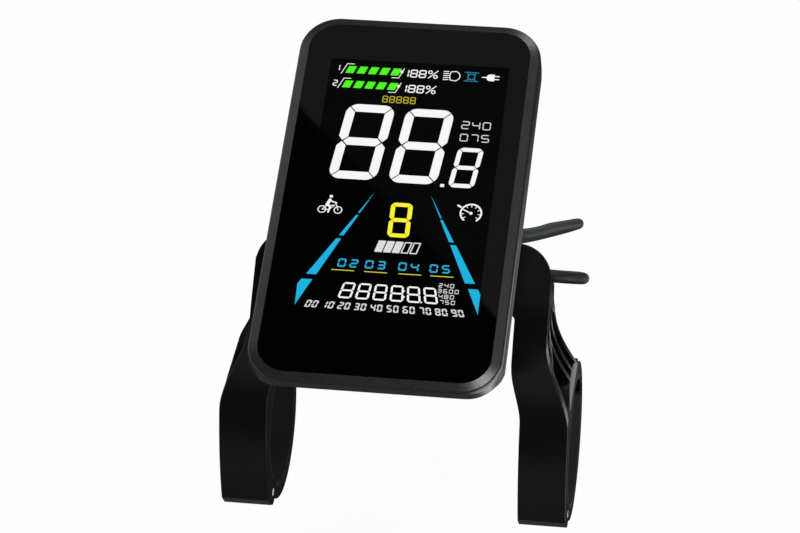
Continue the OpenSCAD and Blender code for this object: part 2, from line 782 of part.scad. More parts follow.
module cable_headers() color("#ece7d8") in_display() at_outlets() difference() {
    plate(header_w, header_h, chip_corner, board_back, board_back + header_t);
    plate(header_w - 2 * header_wall, header_h - 2 * header_wall, chip_corner,
        board_back + header_wall, board_back + header_t + over);
}

module lead_wires() color("#b8452f") in_display() at_outlets() for (x = [-1, 1], y = [-1, 1])
    translate([x * lead_step, y * lead_step, 0])
        post(board_back + header_wall, floor_top - gland_flange_t, lead_r);

module board_screws() color("#c3c7cc") in_display() at_board_screws() {
    post(board_back, board_back + board_screw_head_h, board_screw_head_d / 2);
    post(board_back - board_screw_l, board_back, board_screw_d / 2);
}

module rear_housing() color("#222326") in_display() difference() {
    union() {
        within_slopes(0) {
            swept_rim(body_w, body_h, body_r, concat(
                [[0, -frame_t], [0, -body_t + case_round]],
                [for (i = [1:rim_arc_steps]) let (a = 90 * i / rim_arc_steps)
                    [case_round * (1 - cos(a)), -body_t + case_round * (1 - sin(a))]],
                [[2 * case_round, -body_t], [2 * case_round, -frame_t]]));
            plate(body_w - 2 * case_round, body_h - 2 * case_round, body_r - case_round,
                frame_t + case_round, body_t);
        }
        along_bar(-ear_out, ear_out) hinge_ear_outline();
    }
    difference() {
        within_slopes(case_wall)
            plate(cavity_w, cavity_h, cavity_r, frame_t + flange_t, floor_top);
        at_case_screws() post(frame_post_end + drop_gap, body_t, case_post_d / 2);
    }
    within_slopes(flange_w) plate(body_w - 2 * flange_w, body_h - 2 * flange_w, body_r - flange_w,
        0, frame_t + flange_t + drop_gap);
    seal_ring(drop_gap, frame_t - over, frame_t - seal_sink + seal_t);
    at_case_screws() {
        post(0, frame_post_end + drop_gap, frame_post_d / 2 + drop_gap);
        post(0, body_t + over, case_screw_d / 2 + drop_gap);
        post(body_t - case_screw_sink, body_t + over, case_screw_head_d / 2 + drop_gap);
    }
    along_bar(-ear_in, ear_in) translate([-lens_up - body_h / 2, -2 * lens_ahead])
        square([body_h, 2 * lens_ahead - body_t]);
    translate([0, -lens_up, -lens_ahead]) pin_along(-ear_out - over, ear_out + over, bush_r + snug_gap);
    at_outlets() post(frame_t, body_t + over, gland_r + snug_gap);
}

module hinge_ear_outline() {
    translate([-lens_up, -lens_ahead]) circle(ear_r);
    polygon([[-lens_up - ear_foot, -floor_top], [-lens_up + ear_foot, -floor_top],
        [-lens_up + ear_r, -lens_ahead], [-lens_up - ear_r, -lens_ahead]]);
}

module housing_screws() color("#7d8187") in_display() at_case_screws() {
    post(body_t - case_screw_sink, body_t - case_screw_sink + case_screw_head_h, case_screw_head_d / 2);
    post(case_screw_tip, body_t - case_screw_sink, case_screw_d / 2);
}

module pivot_bushes() color("#b08a4a") in_display() translate([0, -lens_up, -lens_ahead])
    for (side = [0, 1]) mirror([side, 0, 0]) difference() {
        pin_along(ear_in, ear_out, bush_r);
        pin_along(ear_in - over, ear_out + over, axle_d / 2 + run_gap);
    }

module gland() {
    taper = (gland_root_r - gland_tip_r) / (2 * gland_grooves);
    step = (gland_l - gland_flange_t) / (2 * gland_grooves);
    rotate_extrude() polygon(concat(
        [[0, -floor_top + gland_flange_t], [gland_flange_r, -floor_top + gland_flange_t],
            [gland_flange_r, -floor_top], [gland_r, -floor_top], [gland_r, -body_t],
            [gland_flange_r, -body_t], [gland_flange_r, -body_t - gland_flange_t]],
        [for (i = [0:2 * gland_grooves - 1], e = [0, 1])
            [gland_root_r - taper * (i + e) - (i % 2) * gland_groove,
                -body_t - gland_flange_t - step * (i + e)]],
        [[0, -gland_end]]));
}

module main_gland() color("#161617") in_display() translate([main_outlet_x, outlet_up, 0]) gland();
module keypad_gland() color("#161617") in_display() translate([keypad_outlet_x, outlet_up, 0]) gland();

module main_cable() color("#3b3f3d") in_display() tube(main_route, cable_d / 2);
module keypad_cable() color("#3b3f3d") in_display() tube(keypad_route, cable_d / 2);

// Places its child at a cable's end; its Z axis runs on along the cable
module at_cable_end(route) {
    translate(route[len(route) - 1]) rotate([0, -90, 0]) children();
}

module plug_body(d) {
    difference() {
        rotate_extrude() polygon([[0, 0], [plug_boot_r, 0], [d / 2, plug_boot_l],
            [d / 2, plug_l - plug_nose_l], [d / 2 - plug_wall, plug_l - plug_nose_l],
            [d / 2 - plug_wall, plug_l], [0, plug_l]]);
        translate([0, 0, plug_l - contact_l - plug_face]) cylinder(plug_l, d / 2 - 2 * plug_wall,
            d / 2 - 2 * plug_wall);
    }
}

module plug_collar(d) {
    translate([0, 0, plug_l - plug_nose_l + collar_back]) difference() {
        cylinder(collar_l, d / 2, d / 2);
        translate([0, 0, -over]) cylinder(collar_l + 2 * over, d / 2 - plug_wall + run_gap,
            d / 2 - plug_wall + run_gap);
    }
}

module plug_pins(d) {
    translate([0, 0, plug_l - contact_l - plug_face]) for (i = [0:contact_count - 1])
        rotate([0, 0, 360 * i / contact_count]) translate([(d / 2 - 2 * plug_wall) * contact_ring_share, 0, 0])
            cylinder(contact_l, contact_d / 2, contact_d / 2);
}

module main_connector() color("#1c1d1f") in_display() at_cable_end(main_route) plug_body(main_plug_d);
module main_collar() color("#2f9e4f") in_display() at_cable_end(main_route) plug_collar(main_plug_d);
module main_pins() color("#d2b25c") in_display() at_cable_end(main_route) plug_pins(main_plug_d);
module keypad_connector() color("#1c1d1f") in_display() at_cable_end(keypad_route)
    plug_body(keypad_plug_d);
module keypad_collar() color("#d8a52e") in_display() at_cable_end(keypad_route)
    plug_collar(keypad_plug_d);
module keypad_pins() color("#d2b25c") in_display() at_cable_end(keypad_route) plug_pins(keypad_plug_d);

front_lens();
lens_adhesive();
bezel_frame();
housing_seal();
lcd_panel();
backlight();
lcd_tray();
lcd_ribbon();
main_board();
board_chips();
cable_headers();
lead_wires();
board_screws();
rear_housing();
housing_screws();
pivot_bushes();
main_gland();
keypad_gland();
main_cable();
main_connector();
main_collar();
main_pins();
keypad_cable();
keypad_connector();
keypad_collar();
keypad_pins();
left_arm();
right_arm();
pivot_axle();
pivot_screws();
friction_washers();
left_hinge_pin();
right_hinge_pin();
left_clamp_nut();
right_clamp_nut();
left_front_liner();
right_front_liner();
left_strap();
right_strap();
left_clamp_screw();
right_clamp_screw();
left_rear_liner();
right_rear_liner();
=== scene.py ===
"""An e-bike handlebar display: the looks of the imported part, its stage, lights and camera.

Lengths are in millimetres and angles in degrees, unless a comment says otherwise.
"""
import math

import bmesh
import bpy
from mathutils import Matrix, Quaternion, Vector


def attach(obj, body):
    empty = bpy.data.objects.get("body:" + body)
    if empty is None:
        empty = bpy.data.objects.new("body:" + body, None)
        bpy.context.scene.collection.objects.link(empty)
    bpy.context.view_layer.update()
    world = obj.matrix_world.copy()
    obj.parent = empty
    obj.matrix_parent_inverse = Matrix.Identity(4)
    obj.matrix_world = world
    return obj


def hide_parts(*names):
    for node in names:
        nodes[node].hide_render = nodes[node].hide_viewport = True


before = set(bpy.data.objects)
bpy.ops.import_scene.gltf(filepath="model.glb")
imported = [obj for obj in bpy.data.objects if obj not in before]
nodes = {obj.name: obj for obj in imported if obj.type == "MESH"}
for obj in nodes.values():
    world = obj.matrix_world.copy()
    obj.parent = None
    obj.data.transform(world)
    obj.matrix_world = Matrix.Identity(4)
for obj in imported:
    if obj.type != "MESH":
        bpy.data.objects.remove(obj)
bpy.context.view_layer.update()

MM = 0.001

# Camera: the photograph's place and lens
CAMERA_AZIMUTH = 8.822
CAMERA_ELEVATION = 28.264
CAMERA_ROLL = -0.491
CAMERA_DISTANCE = 739.635
CAMERA_TARGET = (-0.689, 0, 46.547)
CAMERA_LENS = 135.3
SENSOR_WIDTH = 36

# Display: where its own frame stands, as in the CAD
PIVOT_Y = 3.5
PIVOT_Z = 43.8
DISPLAY_LEAN = 60
LENS_UP = 3.3
LENS_AHEAD = 28
LENS_W = 55.2
LENS_H = 100.0

# Cables: their routes in the display's own frame, from the gland to the connector
CABLE_D = 2.9
MAIN_ROUTE = [
    (16, 18, -22.5), (16, 18, -27), (16.5, 18, -33), (19.5, 18, -39), (25, 20, -45),
    (28.5, 26.5, -54), (31, 34, -63.5), (33.5, 41, -73), (36, 47, -81), (36, 50.5, -86.5),
    (33.5, 52, -90.5), (29, 51.5, -92.5), (21, 49, -93), (13, 47, -92), (5, 46, -91.5),
    (-4, 46, -91.5), (-13.5, 46, -91.5)]
KEYPAD_ROUTE = [
    (5, 18, -22.5), (5, 18, -27), (5.5, 17.5, -33), (8.5, 15, -39), (14.5, 12, -43),
    (22, 10, -45.5), (29.5, 9.5, -46.5), (36, 9.5, -47), (40.5, 11, -49.5), (42, 13.5, -54),
    (40.5, 16, -58.5), (36, 17.5, -61), (28.5, 18, -61.5), (19.5, 18, -60.5), (10, 18, -60.5),
    (0.5, 18, -60.5)]
CURVE_STEPS = 8
CABLE_ROUNDING = 5

# Surfaces: the usual span of noise, and what all moulded, turned and cut ones share
NOISE_LOW = 0.3
NOISE_HIGH = 0.7
SHADE_SIZE = 6.0
SHADE_CHANGE = 0.15
ROUGHNESS_CHANGE = 0.05
BUMP_STRENGTH = 0.5
EDGE_SAMPLES = 6

# Screen: places are on the lens, x to the right and y up from its middle
WINDOW_W = 44.4
WINDOW_H = 76.7
WINDOW_MIDDLE = (0.7, 0.8)
WINDOW_RADIUS = 0.6
PRINT_HEIGHT = 0.02
ROW_STRETCH = 1.01
SCREEN_GRAIN = 0.5
SCREEN_DIMMEST = 0.96

# Icons of the screen: where each one stands
BATTERY_PLACES = ((-17.5, 35.05), (-17.8, 30.7))
BATTERY_CELLS = 5
CELL_PITCH = 2.8
HEADLIGHT_PLACE = (6.9, 34.6)
BEAMS = 5
BEAM_PITCH = 0.6
RAIL_RING_PLACE = (12.1, 34.6)
PLUG_PLACE = (17.0, 34.75)
RIDER_PLACE = (-17.7, -4.8)
DIAL_PLACE = (18.2, -3.4)
DIAL_TICKS = 9
FIRST_TICK = -40
TICK_PITCH = 32.5

# Rows of the screen: where they start, how many things they hold, and the pitch between these
PERCENT_ROWS = (34.75, 30.2)
GAUGE_START = (-3.4, -15.6)
GAUGE_CELLS = 5
GAUGE_FILLED = 3
GAUGE_PITCH = 2.1
TAB_STARTS = (-11.9, -5.3, 2.7, 10.2)
TAB_BAR_STARTS = (-13.1, -5.2, 3.0, 10.6)
DISTANCE_START = (-9.6, -29.0)
DISTANCE_FIGURES = 6
DISTANCE_PITCH = 3.78
SCALE_START = (-15.4, -32.0)
SCALE_NUMBERS = 10
SCALE_PITCH = 3.35
LIST_TOP = -24.4
LIST_PITCH = 1.5
LIST_ROWS = ((12.9, "240"), (12.8, "3600"), (13.2, "480"), (13.6, "750"))

# Rows at the screen's foot: how they spread, like a road that comes nearer
FAN_MIDDLE = 1.0
FAN_TOP = -24.6
FAN_RATE = 0.023

# Seven-segment figures: which segments are lit, and sizes as shares of the width or the stroke
SEGMENTS = {"0": "abcdef", "1": "bc", "2": "abged", "3": "abgcd", "4": "fgbc", "5": "afgcd",
            "6": "afgecd", "7": "abc", "8": "abcdefg", "9": "abcdfg"}
CORNER_SHARE = 0.22
GAP_SHARE = 0.09
SHOULDER_SHARE = 0.62
TIP_SHARE = 0.45

# Stage: the floor and its paint, the share of it seen as plain white, and the room's light
FLOOR_Z = -60
FLOOR_REACH = 2000
FLOOR_LEVEL = 0.86
FLOOR_ROUGHNESS = 0.9
BACKGROUND_SHARE = 0.94
ROOM_LEVEL = 0.45

# Cards that only reflections see: over the display, before and behind the part, and on the floor
STREAK_START = (-27.6, 24.8)
STREAK_END = (27.4, -31.7)
CARD_HEIGHT = 700
CARD_LEFT = -330
CARD_RIGHT = 190
CARD_REACH = 900
SIDE_CARD_REACH = 1000
WALL_REACH = 900
FRONT_WALL_TOP = 1500
BACK_WALL_TOP = 600
FLOOR_CARD_Z = -56
GROUND_SPLIT = 20
GROUND_SIDE = 95

# Bands of light on those cards: place along the card's axis, and level there
GREY_BANDS = [(-400, 0.18), (150, 0.18), (400, 0.1), (900, 0.05)]
DARK_BANDS = [(0, 0.0)]
LEFT_BANDS = [(-900, 0.05), (-120, 0.05), (0, 0.4), (70, 0.9), (130, 1.4), (220, 1.0), (340, 0.2),
              (900, 0.2)]
RIGHT_BANDS = [(-900, 0.03), (-150, 0.05), (-60, 0.5), (80, 0.55), (180, 0.25), (900, 0.25)]
FRONT_WALL_BANDS = [(-56, 0.03), (90, 0.05), (250, 0.35), (430, 0.6), (580, 0.2), (750, 0.13),
                    (1500, 0.13)]
BACK_WALL_BANDS = [(-56, 0.1), (600, 0.15)]
SIDE_WALL_BANDS = [(0, 0.09)]
FRONT_GROUND_BANDS = [(-900, 0.03), (-320, 0.05), (-190, 0.2), (-110, 0.28), (-75, 0.2), (-40, 0.12),
                      (20, 0.12)]
BACK_GROUND_BANDS = [(20, 0.03), (900, 0.02)]
SIDE_GROUND_BANDS = [(20, 0.4), (100, 1.1), (200, 1.1), (260, 0.25), (330, 0.05), (900, 0.03)]

# Lamps that light the surfaces: name, place, aim, size and power in watts
LAMPS = [
    ("front_light", (-350, -900, 700), (0, 0, 40), (600, 600), 5),
    ("right_light", (800, -200, 600), (0, 0, 40), (500, 500), 3),
    ("back_light", (100, 700, 700), (0, 0, 60), (500, 400), 3)]

# Softboxes that two corners of the rim mirror: name, corner, the rim's tilt there, distance, size, power
CORNER_BOXES = [
    ("lower_corner_box", (1, -1), 14, 600, 150, 1.1),
    ("lower_edge_box", (1, -1), 75, 100, 130, 0.2),
    ("upper_corner_box", (1, 1), 14, 600, 120, 0.4),
    ("upper_edge_box", (1, 1), 45, 500, 160, 0.3)]

lean_angle = math.radians(DISPLAY_LEAN)
up = Vector((0, math.sin(lean_angle), math.cos(lean_angle)))
out = Vector((0, -math.cos(lean_angle), math.sin(lean_angle)))
lens_centre = Vector((0, PIVOT_Y, PIVOT_Z)) + LENS_UP * up + LENS_AHEAD * out


def display_point(x, y, z=0.0):
    """A place in the display's own frame, as a place in the part's frame, in metres."""
    return (lens_centre + Vector((x, 0, 0)) + y * up + z * out) * MM


def linear(*levels):
    """A colour written as 0 to 255 screen levels, as linear values."""
    shares = [level / 255 for level in levels]
    return [s / 12.92 if s <= 0.04045 else ((s + 0.055) / 1.055) ** 2.4 for s in shares]


# Camera
def look_from():
    """The camera's place in metres, and the direction from its target to it."""
    azimuth = math.radians(CAMERA_AZIMUTH)
    elevation = math.radians(CAMERA_ELEVATION)
    back = Vector((math.sin(azimuth) * math.cos(elevation), -math.cos(azimuth) * math.cos(elevation),
                   math.sin(elevation)))
    return (Vector(CAMERA_TARGET) + CAMERA_DISTANCE * back) * MM, back


def add_camera():
    place, back = look_from()
    level = Vector((-back.y, back.x, 0)).normalized()
    right = Quaternion(back, math.radians(CAMERA_ROLL)) @ level
    turn = Matrix((right, back.cross(right), back)).transposed()
    data = bpy.data.cameras.new("camera")
    data.lens = CAMERA_LENS
    data.sensor_width = SENSOR_WIDTH
    camera = bpy.data.objects.new("camera", data)
    camera.location = place
    camera.rotation_euler = turn.to_euler()
    bpy.context.scene.collection.objects.link(camera)
    bpy.context.scene.camera = camera


# Materials
def new_material(name):
    material = bpy.data.materials.new(name)
    material.use_nodes = True
    tree = material.node_tree
    return material, tree, tree.nodes["Principled BSDF"]


def place_in_mm(tree):
    """Object coordinates in millimetres."""
    where = tree.nodes.new("ShaderNodeTexCoord")
    scale = tree.nodes.new("ShaderNodeVectorMath")
    scale.operation = "SCALE"
    scale.inputs["Scale"].default_value = 1 / MM
    tree.links.new(where.outputs["Object"], scale.inputs[0])
    return scale.outputs["Vector"]


def noise(tree, where, size, detail=3.0):
    """Noise whose blotches are about size across."""
    node = tree.nodes.new("ShaderNodeTexNoise")
    node.inputs["Scale"].default_value = 1 / size
    node.inputs["Detail"].default_value = detail
    tree.links.new(where, node.inputs["Vector"])
    return node.outputs["Fac"]


def ranged(tree, value, low, high):
    """A value in the usual span of noise, as one from low to high."""
    node = tree.nodes.new("ShaderNodeMapRange")
    node.inputs["From Min"].default_value = NOISE_LOW
    node.inputs["From Max"].default_value = NOISE_HIGH
    node.inputs["To Min"].default_value = low
    node.inputs["To Max"].default_value = high
    tree.links.new(value, node.inputs["Value"])
    return node.outputs["Result"]


def blended(tree, value, first, second):
    """A colour between two, by a value from 0 to 1."""
    node = tree.nodes.new("ShaderNodeMix")
    node.data_type = "RGBA"
    node.inputs["A"].default_value = (*first, 1)
    node.inputs["B"].default_value = (*second, 1)
    tree.links.new(value, node.inputs["Factor"])
    return node.outputs["Result"]


def soft_edges(tree, radius):
    """Normals that round the sharp edges off."""
    bevel = tree.nodes.new("ShaderNodeBevel")
    bevel.samples = EDGE_SAMPLES
    bevel.inputs["Radius"].default_value = radius * MM
    return bevel.outputs["Normal"]


def finish(name, colour, roughness, grain=0.3, depth=0.01, edge=0.15, metallic=0.0, specular=0.5):
    """A moulded, turned or cut surface: slight colour and gloss changes, fine grain and soft edges."""
    material, tree, shader = new_material(name)
    where = place_in_mm(tree)
    broad = ranged(tree, noise(tree, where, SHADE_SIZE), 0, 1)
    darker = [c * (1 - SHADE_CHANGE) for c in colour]
    lighter = [min(1, c * (1 + SHADE_CHANGE)) for c in colour]
    tree.links.new(blended(tree, broad, darker, lighter), shader.inputs["Base Color"])
    fine = noise(tree, where, grain, detail=2.0)
    gloss = ranged(tree, fine, roughness - ROUGHNESS_CHANGE, roughness + ROUGHNESS_CHANGE)
    tree.links.new(gloss, shader.inputs["Roughness"])
    bump = tree.nodes.new("ShaderNodeBump")
    bump.inputs["Strength"].default_value = BUMP_STRENGTH
    bump.inputs["Distance"].default_value = depth * MM
    tree.links.new(fine, bump.inputs["Height"])
    if edge:
        tree.links.new(soft_edges(tree, edge), bump.inputs["Normal"])
    tree.links.new(bump.outputs["Normal"], shader.inputs["Normal"])
    shader.inputs["Metallic"].default_value = metallic
    shader.inputs["Specular IOR Level"].default_value = specular
    return material


def metal(name, colour, roughness, **details):
    return finish(name, colour, roughness, metallic=1.0, **details)


def glow(name, levels):
    """A lit part of the screen: an even light with the screen's fine grain."""
    material, tree, shader = new_material(name)
    colour = linear(*levels)
    grain = ranged(tree, noise(tree, place_in_mm(tree), SCREEN_GRAIN), 0, 1)
    light = blended(tree, grain, [SCREEN_DIMMEST * c for c in colour], colour)
    tree.links.new(light, shader.inputs["Emission Color"])
    shader.inputs["Emission Strength"].default_value = 1.0
    shader.inputs["Base Color"].default_value = (0, 0, 0, 1)
    shader.inputs["Roughness"].default_value = 0.3
    shader.inputs["Specular IOR Level"].default_value = 0.1
    return material


def lens_glass():
    """The lens, printed black behind: a deep gloss with the faintest waviness."""
    material, tree, shader = new_material("lens_glass")
    where = place_in_mm(tree)
    shade = blended(tree, noise(tree, where, 25.0, detail=1.0), linear(1, 1, 2), linear(3, 3, 4))
    tree.links.new(shade, shader.inputs["Base Color"])
    tree.links.new(ranged(tree, noise(tree, where, 0.8), 0.02, 0.035), shader.inputs["Roughness"])
    return material


def window_glass():
    """The clear window over the dark screen, a little less shiny than the printed border."""
    material, tree, shader = new_material("window_glass")
    where = place_in_mm(tree)
    shade = blended(tree, noise(tree, where, 12.0), linear(1, 1, 1), linear(3, 3, 4))
    tree.links.new(shade, shader.inputs["Base Color"])
    tree.links.new(ranged(tree, noise(tree, where, 0.6), 0.03, 0.05), shader.inputs["Roughness"])
    shader.inputs["Specular IOR Level"].default_value = 0.12
    return material


def sheath(name, colour):
    return finish(name, colour, 0.5, grain=0.4, depth=0.008, edge=0, specular=0.2)


# Paint on the CAD pieces
def paint(names, material):
    for name in names:
        for slot in nodes[name].material_slots:
            slot.material = material


def both(*names):
    """The left and the right piece of each name."""
    return [side + "_" + name for name in names for side in ("left", "right")]


def paint_clamps():
    """The arms and straps, and what holds them on the bar."""
    nylon = finish("arm_nylon", linear(10.5, 10.5, 11), 0.22, grain=0.15, depth=0.0008, edge=0.3,
                   specular=0.25)
    rubber = finish("liner_rubber", linear(17, 19, 19), 0.7, grain=0.25, depth=0.02, edge=0.1, specular=0.25)
    # The hinge pins' near-white colour is partly their zinc plating and partly a painted glint, in place of
    # the highlight that a domed pin end would catch.
    zinc_and_glint = finish("pin_zinc_and_painted_glint", linear(236, 238, 240), 0.4, grain=0.2, depth=0.002, metallic=0.4)
    steel = metal("screw_steel", linear(150, 153, 158), 0.3, grain=0.15, depth=0.003, edge=0.12)
    paint(both("arm", "strap"), nylon)
    paint(both("front_liner", "rear_liner"), rubber)
    paint(both("hinge_pin"), zinc_and_glint)
    paint(both("clamp_screw", "clamp_nut"), steel)


def paint_pivot():
    """The axle between the arms, its washers and bushes, and the screws like those that hold it."""
    black_steel = metal("black_steel", linear(60, 61, 64), 0.38, grain=0.15, depth=0.004, edge=0.12)
    axle_steel = metal("axle_steel", linear(140, 143, 148), 0.28, depth=0.002, edge=0.2)
    acetal = finish("washer_acetal", linear(196, 190, 172), 0.45, depth=0.004, edge=0.1)
    brass = metal("bush_brass", linear(178, 142, 78), 0.3, grain=0.2, depth=0.002, edge=0.1)
    paint(["pivot_screws", "housing_screws"], black_steel)
    paint(["pivot_axle"], axle_steel)
    paint(["friction_washers"], acetal)
    paint(["pivot_bushes"], brass)


def paint_casing():
    """The display's outer pieces and its seals."""
    satin = finish("frame_satin", linear(30, 30, 31), 0.26, grain=0.12, depth=0.0005, edge=0.12,
                   specular=0.45)
    texture = finish("housing_texture", linear(28, 28, 29), 0.45, grain=0.25, depth=0.015, edge=0.25,
                     specular=0.4)
    rubber = finish("gland_rubber", linear(20, 21, 22), 0.6, edge=0.1, specular=0.3)
    paint(["bezel_frame"], satin)
    paint(["rear_housing"], texture)
    paint(["main_gland", "keypad_gland"], rubber)
    paint(["front_lens"], lens_glass())
    paint(["lens_adhesive"], finish("tape_foam", linear(16, 16, 18), 0.8, grain=0.2, edge=0))
    paint(["housing_seal"], finish("seal_silicone", linear(74, 76, 78), 0.6, edge=0))


def paint_electronics():
    """The pieces inside the display."""
    paint(["lcd_panel"], finish("panel_glass", linear(14, 14, 20), 0.1, grain=0.6, depth=0.001, edge=0))
    paint(["backlight"], finish("backlight_acrylic", linear(224, 228, 232), 0.3, grain=0.5, edge=0))
    paint(["lcd_tray"], metal("tray_steel", linear(165, 168, 172), 0.35, edge=0))
    paint(["lcd_ribbon"], finish("ribbon_film", linear(176, 106, 31), 0.3, grain=0.4, edge=0))
    paint(["main_board"], finish("board_mask", linear(28, 92, 48), 0.35, grain=0.4, edge=0))
    paint(["board_chips"], finish("chip_resin", linear(36, 38, 41), 0.55, grain=0.15, edge=0.05))
    paint(["cable_headers"], finish("header_nylon", linear(232, 226, 208), 0.45, edge=0.05))
    paint(["lead_wires"], finish("lead_insulation", linear(178, 66, 44), 0.4, edge=0))
    paint(["board_screws"], metal("small_screw_zinc", linear(188, 192, 196), 0.3, edge=0.05))


def paint_connectors():
    """The pieces at the cables' far ends."""
    nylon = finish("connector_nylon", linear(24, 25, 27), 0.4, edge=0.2)
    paint(["main_connector", "keypad_connector"], nylon)
    paint(["main_collar"], finish("collar_green", linear(46, 150, 78), 0.4, edge=0.2))
    paint(["keypad_collar"], finish("collar_yellow", linear(214, 164, 44), 0.4, edge=0.2))
    paint(["main_pins", "keypad_pins"], metal("pin_gold", linear(224, 184, 92), 0.25, edge=0.05))


# Cables
def smooth_through(points, steps):
    """A smooth curve through the points, the same that the solids follow."""
    count = len(points)

    def at(i):
        if i < 0:
            return 2 * points[0] - points[1]
        if i >= count:
            return 2 * points[-1] - points[-2]
        return points[i]

    course = []
    for i in range(count - 1):
        before, here, ahead, beyond = [at(i + k) for k in (-1, 0, 1, 2)]
        slope = ahead - before
        bend = 2 * before - 5 * here + 4 * ahead - beyond
        twist = 3 * here - before - 3 * ahead + beyond
        for step in range(steps):
            t = step / steps
            course.append((2 * here + slope * t + bend * t ** 2 + twist * t ** 3) / 2)
    return course + [points[-1]]


def add_cable(name, route, node, material):
    """A cable along its route, in place of its plain solid."""
    course = smooth_through([display_point(*p) for p in route], CURVE_STEPS)
    data = bpy.data.curves.new(name, "CURVE")
    data.dimensions = "3D"
    data.bevel_depth = CABLE_D / 2 * MM
    data.bevel_resolution = CABLE_ROUNDING
    data.use_fill_caps = True
    spline = data.splines.new("POLY")
    spline.points.add(len(course) - 1)
    for point, place in zip(spline.points, course):
        point.co = (*place, 1)
    cable = bpy.data.objects.new(name, data)
    bpy.context.scene.collection.objects.link(cable)
    data.materials.append(material)
    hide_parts(node)
    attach(cable, "display")


def add_cables():
    add_cable("main_lead", MAIN_ROUTE, "main_cable",
              sheath("main_sheath", linear(47, 53, 51)))
    # The keypad lead's sheath is the main sheath's colour darkened: painted shade for the lower cable, which
    # lies in shade.
    add_cable("keypad_lead", KEYPAD_ROUTE, "keypad_cable",
              sheath("keypad_sheath_painted_shade", linear(31, 35, 34)))


# Flat shapes of the screen
def around(x, y, radius, angle):
    """The point at an angle on the circle round x, y."""
    return x + radius * math.cos(math.radians(angle)), y + radius * math.sin(math.radians(angle))


def arc(x, y, radius, start, end, count=12):
    return [around(x, y, radius, start + (end - start) * i / count) for i in range(count + 1)]


def disc(x, y, radius, count=20):
    return arc(x, y, radius, 0, 360, count)[:-1]


def slab(x, y, w, h, lean=0.0):
    """A bar whose top leans to the right by a share of its height."""
    return [(x, y), (x + w, y), (x + w + lean * h, y + h), (x + lean * h, y + h)]


def line(points, width):
    """A stroke of the given width along points, with round joints."""
    shapes = []
    for (x0, y0), (x1, y1) in zip(points, points[1:]):
        length = math.hypot(x1 - x0, y1 - y0)
        nx = (y0 - y1) / length * width / 2
        ny = (x1 - x0) / length * width / 2
        shapes.append([(x0 + nx, y0 + ny), (x0 - nx, y0 - ny), (x1 - nx, y1 - ny), (x1 + nx, y1 + ny)])
    return shapes + [disc(px, py, width / 2, count=8) for px, py in points]


def ring(x, y, radius, width):
    return line(arc(x, y, radius, 0, 360), width)


def rounded(middle, w, h, radius):
    """A rectangle with round corners."""
    corners = ((1, 1, 0), (-1, 1, 90), (-1, -1, 180), (1, -1, 270))
    return [point for sx, sy, start in corners
            for point in arc(middle[0] + sx * (w / 2 - radius), middle[1] + sy * (h / 2 - radius), radius,
                             start, start + 90, count=6)]


def digit(character, x, y, w, h, stroke, lean=0.0, gap=None):
    """A seven-segment figure whose lower left corner is at x, y."""
    gap = GAP_SHARE * stroke if gap is None else gap
    corner = CORNER_SHARE * w
    half = stroke / 2
    top_arc = arc(corner, h - corner, corner, 135, 90, count=4)
    side_arc = arc(corner, h - corner, corner, 135, 180, count=4)
    top = [(px + gap, py) for px, py in top_arc] + [(w - px - gap, py) for px, py in reversed(top_arc)]
    top += [(w - stroke - gap, h - stroke), (stroke + gap, h - stroke)]
    left = [(px, py - gap) for px, py in side_arc]
    left += [(0, h / 2 + SHOULDER_SHARE * stroke), (TIP_SHARE * stroke, h / 2 + gap),
             (stroke, h / 2 + half + gap), (stroke, h - stroke - gap)]
    right = [(w - px, py) for px, py in left]
    middle = [(half + gap, h / 2), (stroke + gap, h / 2 + half), (w - stroke - gap, h / 2 + half),
              (w - half - gap, h / 2), (w - stroke - gap, h / 2 - half), (stroke + gap, h / 2 - half)]

    def upended(shape):
        return [(px, h - py) for px, py in shape]

    shapes = {"a": top, "b": right, "c": upended(right), "d": upended(top), "e": upended(left),
              "f": left, "g": middle}
    return [[(x + px + lean * py, y + py) for px, py in shapes[s]] for s in SEGMENTS[character]]


def number(text, x, y, w, h, stroke, pitch, lean=0.0):
    """Figures in a row, a pitch apart."""
    return [shape for i, character in enumerate(text)
            for shape in digit(character, x + i * pitch, y, w, h, stroke, lean)]


def fanned(shapes):
    """Spreads rows near the foot of the screen like a road that comes nearer."""
    return [[(FAN_MIDDLE + (px - FAN_MIDDLE) * (1 + FAN_RATE * (FAN_TOP - py)), py) for px, py in shape]
            for shape in shapes]


# Icons
def battery(x, y):
    """The outline round a battery's cells, the first of which has its lower left corner at x, y."""
    left = line([(x - 1.0, y - 0.2), (x + 0.2, y + 2.75), (x + 1.9, y + 2.75)], width=0.2)
    right = line([(x + 11.7, y - 0.7), (x + 13.4, y - 0.7), (x + 14.5, y + 2.2)], width=0.2)
    return left + right + [disc(x + 14.0, y + 1.2, 0.4)]


def cells(x, y):
    return [slab(x + CELL_PITCH * i, y, w=1.95, h=2.1, lean=0.34) for i in range(BATTERY_CELLS)]


def percent(x, y):
    rings = ring(x + 0.65, y + 1.85, 0.45, width=0.26) + ring(x + 2.05, y + 0.55, 0.45, width=0.26)
    return rings + line([(x + 0.35, y + 0.1), (x + 2.5, y + 2.3)], width=0.28)


def headlight(x, y):
    """A lamp with its beams."""
    back = [(x + 1.8, y), (x + 1.55, y + 0.8), (x + 1.55, y + 1.7), (x + 1.8, y + 2.5)]
    shapes = line(back[-1:] + arc(x + 2.6, y + 1.25, 1.45, 75, -75) + back, width=0.24)
    for i in range(BEAMS):
        shapes += line([(x, y + 0.05 + BEAM_PITCH * i), (x + 1.2, y + 0.15 + BEAM_PITCH * i)], width=0.24)
    return shapes


